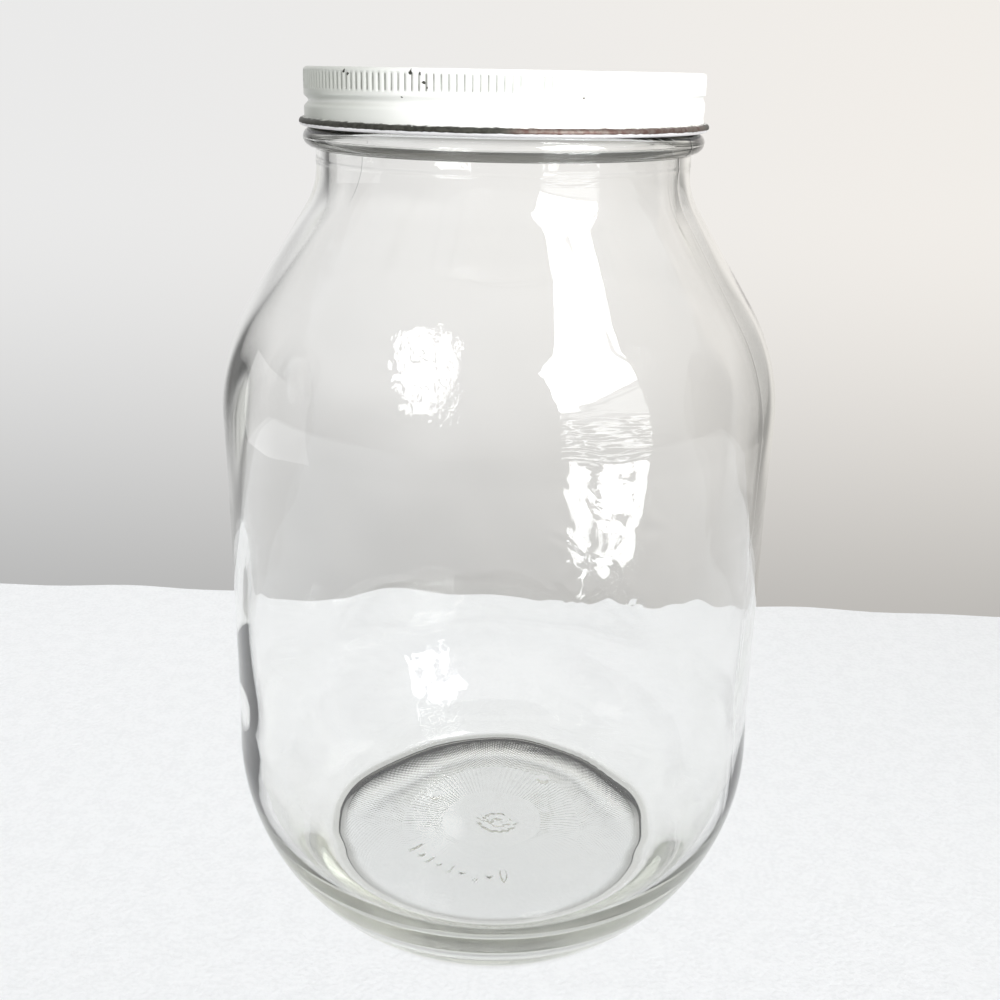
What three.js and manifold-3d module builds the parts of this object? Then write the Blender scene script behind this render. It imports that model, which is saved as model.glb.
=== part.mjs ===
// An empty one-gallon wide-mouth glass jar with its screw lid on, in millimetres, +Z up.
// The origin is at the middle of the foot, on the surface that the jar stands on.

import * as THREE from 'three';
import { mergeVertices } from 'three/addons/utils/BufferGeometryUtils.js';
import Module from 'manifold-3d';

const DEGREE = Math.PI / 180;

// Driving dimensions of the jar's outside; a pull is how far a curve's handle lies from its end
const FOOT_INNER_RADIUS = 54.4;
const FOOT_RADIUS = 58.2;
const HEEL_RADIUS = 82.5;
const HEEL_HEIGHT = 51;
const HEEL_FOOT_PULL = 2;
const HEEL_TOP_PULL = 30.8;
const LABEL_BOTTOM_RADIUS = 82.1;
const LABEL_BOTTOM_HEIGHT = 63;
const LABEL_RADIUS = 81.9;
const LABEL_TOP_HEIGHT = 134;
const SHOULDER_RADIUS = 82.3;
const SHOULDER_HEIGHT = 160.8;
const SHOULDER_ARC = 57.7;
const SHOULDER_SLOPE = 32.1 * DEGREE;
const NECK_RADIUS = 53.2;
const NECK_FILLET = 21;
const NECK_FILLET_TOP = 229.9;
const BEAD_HEIGHT = 237.5;
const BEAD_REACH = 3.4;
const BEAD_HALF_THICKNESS = 2.9;
const FINISH_RADIUS = 53.0;
const FINISH_BOTTOM_HEIGHT = 241.0;
const RIM_HEIGHT = 255.3;
const MOUTH_RADIUS = 49.2;
const RIM_ROUNDING = 1.5;

// Driving dimensions of the jar's inside
const WALL = 3.6;
const FLOOR_EDGE_RADIUS = 46;
const FLOOR_EDGE_HEIGHT = 9.6;
const FLOOR_MIDDLE_HEIGHT = 12;
const FLOOR_EDGE_PULL = 12;
const FLOOR_MIDDLE_PULL = 18;
const INNER_HEEL_HEIGHT = 53;
const INNER_HEEL_TOP_PULL = 29;
const INNER_HEEL_FLOOR_PULL = 16;

// Driving dimensions of the push-up under the base
const PUSH_UP_HEIGHT = 6.5;
const PUSH_UP_PULL = 24;
const PUSH_UP_EDGE_RADIUS = 53.2;
const PUSH_UP_EDGE_HEIGHT = 0.9;
const PUSH_UP_EDGE_PULL_RADIUS = 38;
const PUSH_UP_EDGE_PULL_HEIGHT = 3.5;

// The thread on the finish, one ridge and a bit more than a turn, and the lid's groove half a pitch under it
const THREAD_PITCH = 5.08;
const THREAD_REACH = 1.5;
const THREAD_BASE = 2.4;
const THREAD_CREST = 1;
const THREAD_ROOT_DEPTH = 1;
const THREAD_END_DEPTH = 0.3;
const THREAD_END_FADE = 0.1;
const THREAD_START = 105 * DEGREE;
const THREAD_END = 400 * DEGREE;
const GROOVE_HEIGHT_LEFT = 247.0;
const GROOVE_START = -290 * DEGREE;
const GROOVE_END = 100 * DEGREE;
const GROOVE_FADE = 35 * DEGREE;
const GROOVE_DEPTH = 1.2;
const GROOVE_HALF_WIDTH = 1.7;

// Driving dimensions of the lid
const LID_TOP = 256.0;
const LID_RADIUS = 56.0;
const LID_CORNER = 1.2;
const SHEET = 0.4;
const PANEL_RADIUS = 45.0;
const PANEL_STEP_WIDTH = 1.4;
const PANEL_DEPTH = 0.75;
const KNURL_COUNT = 184;
const KNURL_DEPTH = 0.5;
const KNURL_TOP = 254.8;
const KNURL_BOTTOM = 250.3;
const GROOVE_BAND_TOP = 250.2;
const GROOVE_BAND_BOTTOM = 243.0;
const GROOVE_BAND_STEPS = 7;
const CURL_HEIGHT = 241.6;
const CURL_RADIUS = 1.15;
const CURL_CENTRE_RADIUS = 56.35;
const CURL_START = 108 * DEGREE;
const CURL_END = -230 * DEGREE;

// How finely the round shapes are divided
const JAR_SIDES = 60;
const LID_SIDES = 68;
const THREAD_STEPS = 40;

const wasm = await Module();
wasm.setup();

// Outlines are lists of points (radius, height), traced along lines and curves

function trace(outline, curve, divisions) {
  for (const point of curve.getPoints(divisions)) {
    const last = outline[outline.length - 1];
    if (!last || last.distanceTo(point) > 1e-3) {
      outline.push(new THREE.Vector2(Math.max(point.x, 0), point.y));
    }
  }
}

function lineTo(outline, radius, height) {
  outline.push(new THREE.Vector2(radius, height));
}

// An arc about a centre, from one angle to another, where 0 points outwards and 90 degrees up
function arc(radius, height, halfWidth, halfHeight, from, to) {
  return new THREE.EllipseCurve(radius, height, halfWidth, halfHeight, from, to, to < from, 0);
}

function bezier(...points) {
  return new THREE.CubicBezierCurve(...points.map(([radius, height]) => new THREE.Vector2(radius, height)));
}

function jarOutline() {
  const outline = [];
  const shoulderCentre = SHOULDER_RADIUS - SHOULDER_ARC;
  const filletCentre = NECK_RADIUS + NECK_FILLET;
  const innerBody = HEEL_RADIUS - WALL;
  const innerShoulderArc = SHOULDER_ARC - WALL;
  const innerFillet = NECK_FILLET + WALL;
  const quarter = 90 * DEGREE;

  // underside: the push-up, then the resting ring
  trace(outline, bezier([0, PUSH_UP_HEIGHT], [PUSH_UP_PULL, PUSH_UP_HEIGHT],
    [PUSH_UP_EDGE_PULL_RADIUS, PUSH_UP_EDGE_PULL_HEIGHT], [PUSH_UP_EDGE_RADIUS, PUSH_UP_EDGE_HEIGHT]), 4);
  lineTo(outline, FOOT_INNER_RADIUS, 0);

  // the heel, the label panel, the shoulder, the neck and the transfer bead
  trace(outline, bezier([FOOT_RADIUS, 0], [FOOT_RADIUS + HEEL_FOOT_PULL, 0],
    [HEEL_RADIUS, HEEL_HEIGHT - HEEL_TOP_PULL], [HEEL_RADIUS, HEEL_HEIGHT]), 8);
  lineTo(outline, LABEL_BOTTOM_RADIUS, LABEL_BOTTOM_HEIGHT);
  lineTo(outline, LABEL_RADIUS, LABEL_TOP_HEIGHT);
  trace(outline, arc(shoulderCentre, SHOULDER_HEIGHT, SHOULDER_ARC, SHOULDER_ARC, 0, SHOULDER_SLOPE), 4);
  trace(outline, arc(filletCentre, NECK_FILLET_TOP, NECK_FILLET, NECK_FILLET,
    2 * quarter + SHOULDER_SLOPE, 2 * quarter), 3);
  trace(outline, arc(NECK_RADIUS, BEAD_HEIGHT, BEAD_REACH, BEAD_HALF_THICKNESS, -quarter, quarter), 6);

  // the finish and its rounded rim
  lineTo(outline, FINISH_RADIUS, FINISH_BOTTOM_HEIGHT);
  trace(outline, arc(FINISH_RADIUS - RIM_ROUNDING, RIM_HEIGHT - RIM_ROUNDING, RIM_ROUNDING, RIM_ROUNDING,
    0, quarter), 2);
  trace(outline, arc(MOUTH_RADIUS + RIM_ROUNDING, RIM_HEIGHT - RIM_ROUNDING, RIM_ROUNDING, RIM_ROUNDING,
    quarter, 2 * quarter), 2);

  // inside: the neck, the shoulder, the body, the heel and the floor
  trace(outline, arc(filletCentre, NECK_FILLET_TOP, innerFillet, innerFillet,
    2 * quarter, 2 * quarter + SHOULDER_SLOPE), 3);
  trace(outline, arc(shoulderCentre, SHOULDER_HEIGHT, innerShoulderArc, innerShoulderArc,
    SHOULDER_SLOPE, 0), 4);
  trace(outline, bezier([innerBody, INNER_HEEL_HEIGHT], [innerBody, INNER_HEEL_HEIGHT - INNER_HEEL_TOP_PULL],
    [FLOOR_EDGE_RADIUS + INNER_HEEL_FLOOR_PULL, FLOOR_EDGE_HEIGHT],
    [FLOOR_EDGE_RADIUS, FLOOR_EDGE_HEIGHT]), 6);
  trace(outline, bezier([FLOOR_EDGE_RADIUS, FLOOR_EDGE_HEIGHT],
    [FLOOR_EDGE_RADIUS - FLOOR_EDGE_PULL, FLOOR_EDGE_HEIGHT], [FLOOR_MIDDLE_PULL, FLOOR_MIDDLE_HEIGHT],
    [0, FLOOR_MIDDLE_HEIGHT]), 3);
  return outline;
}

function lidOutline() {
  const outline = [];
  const root = LID_RADIUS - KNURL_DEPTH;
  const quarter = 90 * DEGREE;

  // top: the panel, the step up to the rim channel and the rounded corner
  lineTo(outline, 0, LID_TOP - PANEL_DEPTH);
  lineTo(outline, PANEL_RADIUS, LID_TOP - PANEL_DEPTH);
  lineTo(outline, PANEL_RADIUS + PANEL_STEP_WIDTH, LID_TOP);
  trace(outline, arc(root - LID_CORNER, LID_TOP - LID_CORNER, LID_CORNER, LID_CORNER, quarter, 0), 3);

  // outside: the knurl's root, the grooved band and the curl
  lineTo(outline, root, KNURL_BOTTOM);
  for (const height of grooveBandHeights()) {
    lineTo(outline, LID_RADIUS, height);
  }
  trace(outline, arc(CURL_CENTRE_RADIUS, CURL_HEIGHT, CURL_RADIUS, CURL_RADIUS, CURL_START, CURL_END), 6);

  // inside: the same band upwards, the corner and the underside of the top
  for (const height of grooveBandHeights().reverse()) {
    lineTo(outline, LID_RADIUS - SHEET, height);
  }
  lineTo(outline, root - SHEET, KNURL_BOTTOM);
  trace(outline, arc(root - LID_CORNER, LID_TOP - LID_CORNER, LID_CORNER - SHEET, LID_CORNER - SHEET,
    0, quarter), 2);
  lineTo(outline, PANEL_RADIUS + PANEL_STEP_WIDTH, LID_TOP - SHEET);
  lineTo(outline, PANEL_RADIUS, LID_TOP - PANEL_DEPTH - SHEET);
  lineTo(outline, 0, LID_TOP - PANEL_DEPTH - SHEET);
  return outline;
}

function grooveBandHeights() {
  const heights = [];
  for (let step = 0; step <= GROOVE_BAND_STEPS; step += 1) {
    heights.push(THREE.MathUtils.lerp(GROOVE_BAND_TOP, GROOVE_BAND_BOTTOM, step / GROOVE_BAND_STEPS));
  }
  return heights;
}

// Height of the lid's rolled groove at an angle, counted from the front and positive to the right
function grooveHeight(angle) {
  return GROOVE_HEIGHT_LEFT + THREAD_PITCH * (angle + 90 * DEGREE) / (360 * DEGREE);
}

// How far the rolled groove sinks into the lid's wall at an angle and a height
function grooveSink(angle, height) {
  let sink = 0;
  for (const turn of [-1, 0]) {
    const along = angle + turn * 360 * DEGREE;
    const fadeIn = THREE.MathUtils.smoothstep(along, GROOVE_START, GROOVE_START + GROOVE_FADE);
    const fadeOut = 1 - THREE.MathUtils.smoothstep(along, GROOVE_END - GROOVE_FADE, GROOVE_END);
    const off = Math.abs(height - grooveHeight(along)) / GROOVE_HALF_WIDTH;
    if (off < 1) {
      sink = Math.max(sink, GROOVE_DEPTH * Math.cos(off * 90 * DEGREE) ** 2 * fadeIn * fadeOut);
    }
  }
  return sink;
}

// An outline spun round the jar's axis; angle 0 is the front, at -Y, and a quarter turn is at +X
function spin(outline, sides) {
  const geometry = new THREE.LatheGeometry(outline, sides);
  geometry.rotateX(90 * DEGREE);
  return geometry;
}

// The triangles of a geometry with its vertices merged, turned to face outwards, as a solid
function toSolid(geometry) {
  const bare = geometry.index ? geometry.clone() : geometry;
  bare.deleteAttribute('normal');
  bare.deleteAttribute('uv');
  const merged = mergeVertices(bare, 1e-4);
  const positions = merged.attributes.position.array;
  const triangles = [];
  let volume = 0;
  for (let first = 0; first < merged.index.count; first += 3) {
    const [a, b, c] = [0, 1, 2].map((corner) => merged.index.getX(first + corner));
    if (a !== b && b !== c && c !== a) {
      triangles.push([a, b, c]);
      const [p, q, r] = [a, b, c].map((vertex) => new THREE.Vector3().fromArray(positions, vertex * 3));
      volume += p.dot(q.cross(r));
    }
  }
  const outward = volume > 0 ? triangles : triangles.map(([a, b, c]) => [a, c, b]);
  const mesh = new wasm.Mesh({
    numProp: 3,
    vertProperties: Float32Array.from(positions),
    triVerts: Uint32Array.from(outward.flat()),
  });
  return new wasm.Manifold(mesh);
}

function toGeometry(solid) {
  const mesh = solid.getMesh();
  const geometry = new THREE.BufferGeometry();
  geometry.setAttribute('position', new THREE.BufferAttribute(Float32Array.from(mesh.vertProperties), 3));
  geometry.setIndex(new THREE.BufferAttribute(Uint32Array.from(mesh.triVerts), 1));
  geometry.computeVertexNormals();
  return geometry;
}

// The glass thread: a tapered ridge wound round the finish, shallower towards both ends
function threadRidge() {
  const positions = [];
  const indices = [];
  const root = FINISH_RADIUS - THREAD_ROOT_DEPTH;
  for (let step = 0; step <= THREAD_STEPS; step += 1) {
    const part = step / THREAD_STEPS;
    const angle = THREE.MathUtils.lerp(THREAD_START, THREAD_END, part);
    const middle = grooveHeight(angle - 360 * DEGREE) + THREAD_PITCH / 2;
    const fade = THREE.MathUtils.smoothstep(part, 0, THREAD_END_FADE)
      * (1 - THREE.MathUtils.smoothstep(part, 1 - THREAD_END_FADE, 1));
    const crest = FINISH_RADIUS + THREE.MathUtils.lerp(-THREAD_END_DEPTH, THREAD_REACH, fade);
    const corners = [[root, -THREAD_BASE / 2], [crest, -THREAD_CREST / 2], [crest, THREAD_CREST / 2],
      [root, THREAD_BASE / 2]];
    for (const [radius, off] of corners) {
      positions.push(radius * Math.sin(angle), -radius * Math.cos(angle), middle + off);
    }
    if (step > 0) {
      const now = step * 4;
      for (let side = 0; side < 4; side += 1) {
        const next = (side + 1) % 4;
        indices.push(now - 4 + side, now + side, now + next);
        indices.push(now - 4 + side, now + next, now - 4 + next);
      }
    }
  }
  const last = THREAD_STEPS * 4;
  indices.push(0, 1, 2, 0, 2, 3, last, last + 2, last + 1, last, last + 3, last + 2);
  const geometry = new THREE.BufferGeometry();
  geometry.setAttribute('position', new THREE.Float32BufferAttribute(positions, 3));
  geometry.setIndex(indices);
  return geometry;
}

// The knurl: a ring with a tooth for each ridge, as deep as the wall behind it allows
function knurlRing() {
  const shape = new THREE.Shape();
  for (let corner = 0; corner < 2 * KNURL_COUNT; corner += 1) {
    const angle = corner * 180 * DEGREE / KNURL_COUNT;
    const radius = corner % 2 === 0 ? LID_RADIUS : LID_RADIUS - KNURL_DEPTH;
    shape[corner === 0 ? 'moveTo' : 'lineTo'](radius * Math.cos(angle), radius * Math.sin(angle));
  }
  const hole = new THREE.Path();
  hole.absarc(0, 0, LID_RADIUS - KNURL_DEPTH - SHEET / 2, 0, 360 * DEGREE, true);
  shape.holes.push(hole);
  const geometry = new THREE.ExtrudeGeometry(shape, {
    depth: KNURL_TOP - KNURL_BOTTOM,
    bevelEnabled: false,
    curveSegments: LID_SIDES,
  });
  geometry.translate(0, 0, KNURL_BOTTOM);
  return geometry;
}

// The lid's spun sheet with the thread groove rolled into its wall
function groovedSheet() {
  const geometry = spin(lidOutline(), LID_SIDES);
  const position = geometry.attributes.position;
  for (let index = 0; index < position.count; index += 1) {
    const height = position.getZ(index);
    const radius = Math.hypot(position.getX(index), position.getY(index));
    if (radius > PANEL_RADIUS && height > CURL_HEIGHT + CURL_RADIUS && height < KNURL_BOTTOM - 1e-3) {
      const angle = Math.atan2(position.getX(index), -position.getY(index));
      const scale = 1 - grooveSink(angle, height) / radius;
      position.setX(index, position.getX(index) * scale);
      position.setY(index, position.getY(index) * scale);
    }
  }
  return geometry;
}

function makeJar() {
  const solid = toSolid(spin(jarOutline(), JAR_SIDES)).add(toSolid(threadRidge()));
  const material = new THREE.MeshStandardMaterial({
    color: 0xe4e8e0,
    roughness: 0.05,
    metalness: 0,
    transparent: true,
    opacity: 0.35,
  });
  const jar = new THREE.Mesh(toGeometry(solid), material);
  jar.name = 'glass_jar';
  return jar;
}

function makeLid() {
  const solid = toSolid(groovedSheet()).add(toSolid(knurlRing()));
  const material = new THREE.MeshStandardMaterial({ color: 0xf4f5f2, roughness: 0.35, metalness: 0.1 });
  const lid = new THREE.Mesh(toGeometry(solid), material);
  lid.name = 'lid';
  return lid;
}

const group = new THREE.Group();
group.add(makeJar(), makeLid());

export default group;
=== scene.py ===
"""An empty one-gallon mayonnaise jar of clear glass with its white metal screw lid.

The jar and the lid are round shells, traced as half-sections in metres, spun round the
+Z axis and given their relief, such as seams, waves, knurls and the rolled thread. The
front of the jar is at -Y, and angles round the axis count from there towards +X.
"""

import logging
import math
from dataclasses import dataclass, field
from enum import Enum
from typing import Any, Callable

import bpy
import numpy as np
from mathutils import Matrix, Vector


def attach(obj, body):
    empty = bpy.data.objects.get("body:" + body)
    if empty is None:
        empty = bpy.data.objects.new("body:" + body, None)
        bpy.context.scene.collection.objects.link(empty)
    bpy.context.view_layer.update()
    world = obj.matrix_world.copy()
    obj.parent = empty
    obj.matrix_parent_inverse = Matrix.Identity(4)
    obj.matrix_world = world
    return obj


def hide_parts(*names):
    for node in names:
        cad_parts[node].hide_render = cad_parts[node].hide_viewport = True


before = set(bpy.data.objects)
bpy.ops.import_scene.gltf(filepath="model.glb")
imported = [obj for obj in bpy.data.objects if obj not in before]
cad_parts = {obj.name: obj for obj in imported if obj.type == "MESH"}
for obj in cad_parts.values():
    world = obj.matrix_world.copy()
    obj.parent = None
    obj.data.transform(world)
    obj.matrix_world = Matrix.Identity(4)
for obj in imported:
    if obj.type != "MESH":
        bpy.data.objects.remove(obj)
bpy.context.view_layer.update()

MM = 0.001
SAME_POINT = 0.001 * MM
WHITE = (1.0, 1.0, 1.0, 1.0)
LOG = logging.getLogger("gallon_jar")

Array = np.ndarray
Pair = tuple[float, float]
Colour = tuple[float, float, float, float]
Socket = bpy.types.NodeSocket
Relief = Callable[[Array, Array, Array, Array], Array]


class Zone(Enum):
    """Stretches of a half-section, which say what relief and finish a surface takes."""

    UNDERSIDE = 0
    BODY = 1
    FINISH = 2
    INSIDE = 3
    FLOOR = 4
    PANEL = 5
    KNURL = 6
    BAND = 7
    CURL = 8
    LINING = 9


class Slot(Enum):
    """The record's material slots."""

    GLASS = "clear_glass"
    ENAMEL = "white_enamel"


def fade(value: Array, start: float, end: float) -> Array:
    """Ease numbers smoothly from 0 at start to 1 at end."""
    part = np.clip((value - start) / (end - start), 0.0, 1.0)
    return part * part * (3.0 - 2.0 * part)


def turn_apart(angle: Array, other: float) -> Array:
    """Measure how far angles are from another one, between -pi and pi."""
    return (angle - other + math.pi) % (2 * math.pi) - math.pi


def on_circle(centre: Pair, reach: float, degrees: float) -> Pair:
    """Give the point of a circle at an angle, where 0 points outwards and 90 up."""
    turn = math.radians(degrees)
    return centre[0] + reach * math.cos(turn), centre[1] + reach * math.sin(turn)


@dataclass
class Outline:
    """A half-section, traced as points of radius and height with the zone of each."""

    step: float
    points: list[Pair] = field(default_factory=list)
    zones: list[int] = field(default_factory=list)
    zone: Zone = Zone.UNDERSIDE

    def start(self, radius: float, height: float, zone: Zone) -> None:
        """Put the first point, in a zone."""
        self.zone = zone
        self._add(radius, height)

    def _add(self, radius: float, height: float) -> None:
        """Add one point, unless it repeats the last."""
        here = (max(radius, 0.0), height)
        if not self.points or math.dist(self.points[-1], here) > SAME_POINT:
            self.points.append(here)
            self.zones.append(self.zone.value)

    def _follow(self, path: Callable[[float], Pair], length: float, step: float | None) -> None:
        """Add points along a path that runs from 0 to 1, about a step apart.

        Args:
            path: Gives radius and height for a part of the way.
            length: How long the path is.
            step: Spacing of the points, or None for the outline's own.
        """
        count = max(1, round(length / (step or self.step)))
        for index in range(1, count + 1):
            self._add(*path(index / count))

    def line(self, radius: float, height: float, step: float | None = None) -> None:
        """Run straight to a point.

        Args:
            radius: Radius of the end.
            height: Height of the end.
            step: Spacing of the points, or None for the outline's own.
        """
        r0, z0 = self.points[-1]
        self._follow(
            lambda t: (r0 + (radius - r0) * t, z0 + (height - z0) * t),
            math.dist((r0, z0), (radius, height)),
            step,
        )

    def arc(
        self,
        centre: Pair,
        reach: Pair,
        turn: Pair,
        step: float | None = None,
    ) -> None:
        """Follow an arc of an ellipse about a centre.

        Args:
            centre: Radius and height of the middle.
            reach: Half width and half height of the ellipse.
            turn: First and last angle in degrees, where 0 points outwards and 90 up.
            step: Spacing of the points, or None for the outline's own.
        """
        first, last = (math.radians(angle) for angle in turn)

        def place(t: float) -> Pair:
            """Give the point at a part of the way."""
            angle = first + (last - first) * t
            return centre[0] + reach[0] * math.cos(angle), centre[1] + reach[1] * math.sin(angle)

        self._add(*place(0.0))
        self._follow(place, abs(last - first) * max(reach), step)

    def bezier(
        self,
        pull: Pair,
        push: Pair,
        end: Pair,
        step: float | None = None,
    ) -> None:
        """Follow a cubic curve from the last point.

        Args:
            pull: Handle that the curve leaves towards.
            push: Handle that the curve arrives from.
            end: Radius and height of the end.
            step: Spacing of the points, or None for the outline's own.
        """
        begin = self.points[-1]
        length = math.dist(begin, pull) + math.dist(pull, push) + math.dist(push, end)

        def place(t: float) -> Pair:
            """Give the point at a part of the way."""
            weights = ((1 - t) ** 3, 3 * t * (1 - t) ** 2, 3 * t * t * (1 - t), t**3)
            knots = (begin, pull, push, end)
            return tuple(sum(w * knot[axis] for w, knot in zip(weights, knots)) for axis in (0, 1))

        self._follow(place, length, step)

    def outward(self) -> Array:
        """Give the unit normal of each point, to the right of the way the outline runs."""
        points = np.array(self.points)
        along = np.gradient(points, axis=0)
        along /= np.linalg.norm(along, axis=1)[:, None]
        return np.stack([along[:, 1], -along[:, 0]], axis=1)


def spin(
    name: str, outline: Outline, angles: Array, relief: Relief, apart: Zone
) -> bpy.types.Object:
    """Spin an outline that starts and ends on the axis, and add its relief.

    Args:
        name: Name of the new object.
        outline: The half-section.
        angles: Where round the axis the section stands, rising, in radians.
        relief: Gives how far each point moves outwards, from angle, radius, height and zone.
        apart: The zone whose faces take the second material.

    Returns:
        The smooth-shaded mesh object, at the origin.
    """
    points = np.array(outline.points)
    normals = outline.outward()
    ring = slice(1, len(points) - 1)
    radius, height = points[ring, 0][:, None], points[ring, 1][:, None]
    zones = np.array(outline.zones)[ring][:, None]
    turn = angles[None, :]
    shift = relief(turn, radius, height, zones)
    out = radius + normals[ring, 0][:, None] * shift
    up = height + normals[ring, 1][:, None] * shift
    grid = np.stack([out * np.sin(turn), -out * np.cos(turn), up + 0 * turn], axis=-1)
    rows, sides = grid.shape[:2]
    first, last = rows * sides, rows * sides + 1
    verts = np.concatenate([grid.reshape(-1, 3), [[0, 0, points[0, 1]], [0, 0, points[-1, 1]]]])
    here = np.arange(sides)
    beside = (here + 1) % sides
    row = np.arange(rows - 1)[:, None] * sides
    quads = np.stack([row + here, row + beside, row + sides + beside, row + sides + here], axis=-1)
    top = (rows - 1) * sides
    faces = quads.reshape(-1, 4).tolist()
    faces += [[first, int(b), int(a)] for a, b in zip(here, beside)]
    faces += [[last, int(top + a), int(top + b)] for a, b in zip(here, beside)]
    mesh = bpy.data.meshes.new(name)
    mesh.from_pydata(verts.tolist(), [], faces)
    mesh.polygons.foreach_set("use_smooth", [True] * len(mesh.polygons))
    row_zones = np.concatenate([zones[1:, 0], [outline.zones[0], outline.zones[-1]]])
    second = np.repeat(row_zones == apart.value, sides)
    mesh.polygons.foreach_set("material_index", second.astype(np.int32))
    mesh.update()
    piece = bpy.data.objects.new(name, mesh)
    bpy.context.scene.collection.objects.link(piece)
    return piece


@dataclass(frozen=True)
class Waves:
    """Long gentle waves over blown glass, the same on every run."""

    depth: float
    longest: float
    shortest: float
    count: int
    seed: int

    def at(self, angle: Array, height: Array, radius: float) -> Array:
        """Give the waves' height on a wall.

        Args:
            angle: Angles round the axis.
            height: Heights above the table.
            radius: Rough radius of the wall, which sets how many waves go round it.

        Returns:
            Offsets, at most about the depth.
        """
        draw = np.random.default_rng(self.seed)
        total = np.zeros(np.broadcast_shapes(angle.shape, height.shape))
        for _ in range(self.count):
            length = draw.uniform(self.shortest, self.longest)
            lean = draw.uniform(0.0, math.pi)
            round_axis = round(2 * math.pi * radius * math.cos(lean) / length)
            upwards = 2 * math.pi * math.sin(lean) / length
            phase = draw.uniform(0.0, 2 * math.pi)
            total += np.sin(round_axis * angle + upwards * height + phase)
        return total * self.depth / math.sqrt(self.count)


@dataclass(frozen=True)
class RipplePatch:
    """A patch of fine parallel ripples on the glass, fading out at its edges."""

    angle: float
    height: float
    half_turn: float
    half_height: float
    depth: float
    spacing: float
    slant: float
    wobble: float
    seed: int
    soft_from: Pair = (0.5, 0.6)
    drift_lengths: Pair = (30 * MM, 9 * MM)
    drift_count: int = 7

    def at(self, angle: Array, height: Array, radius: float) -> Array:
        """Give the ripples' height on a wall.

        Args:
            angle: Angles round the axis.
            height: Heights above the table.
            radius: Rough radius of the wall.

        Returns:
            Offsets, zero outside the patch.
        """
        across = turn_apart(angle, self.angle)
        along = np.abs(height - self.height)
        inside = 1 - fade(np.abs(across) / self.half_turn, self.soft_from[0], 1.0)
        inside = inside * (1 - fade(along / self.half_height, self.soft_from[1], 1.0))
        drift = Waves(self.wobble, *self.drift_lengths, self.drift_count, self.seed)
        height = height + drift.at(angle, height, radius)
        phase = (height + across * radius * self.slant) * 2 * math.pi / self.spacing
        return self.depth * inside * np.sin(phase)


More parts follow.
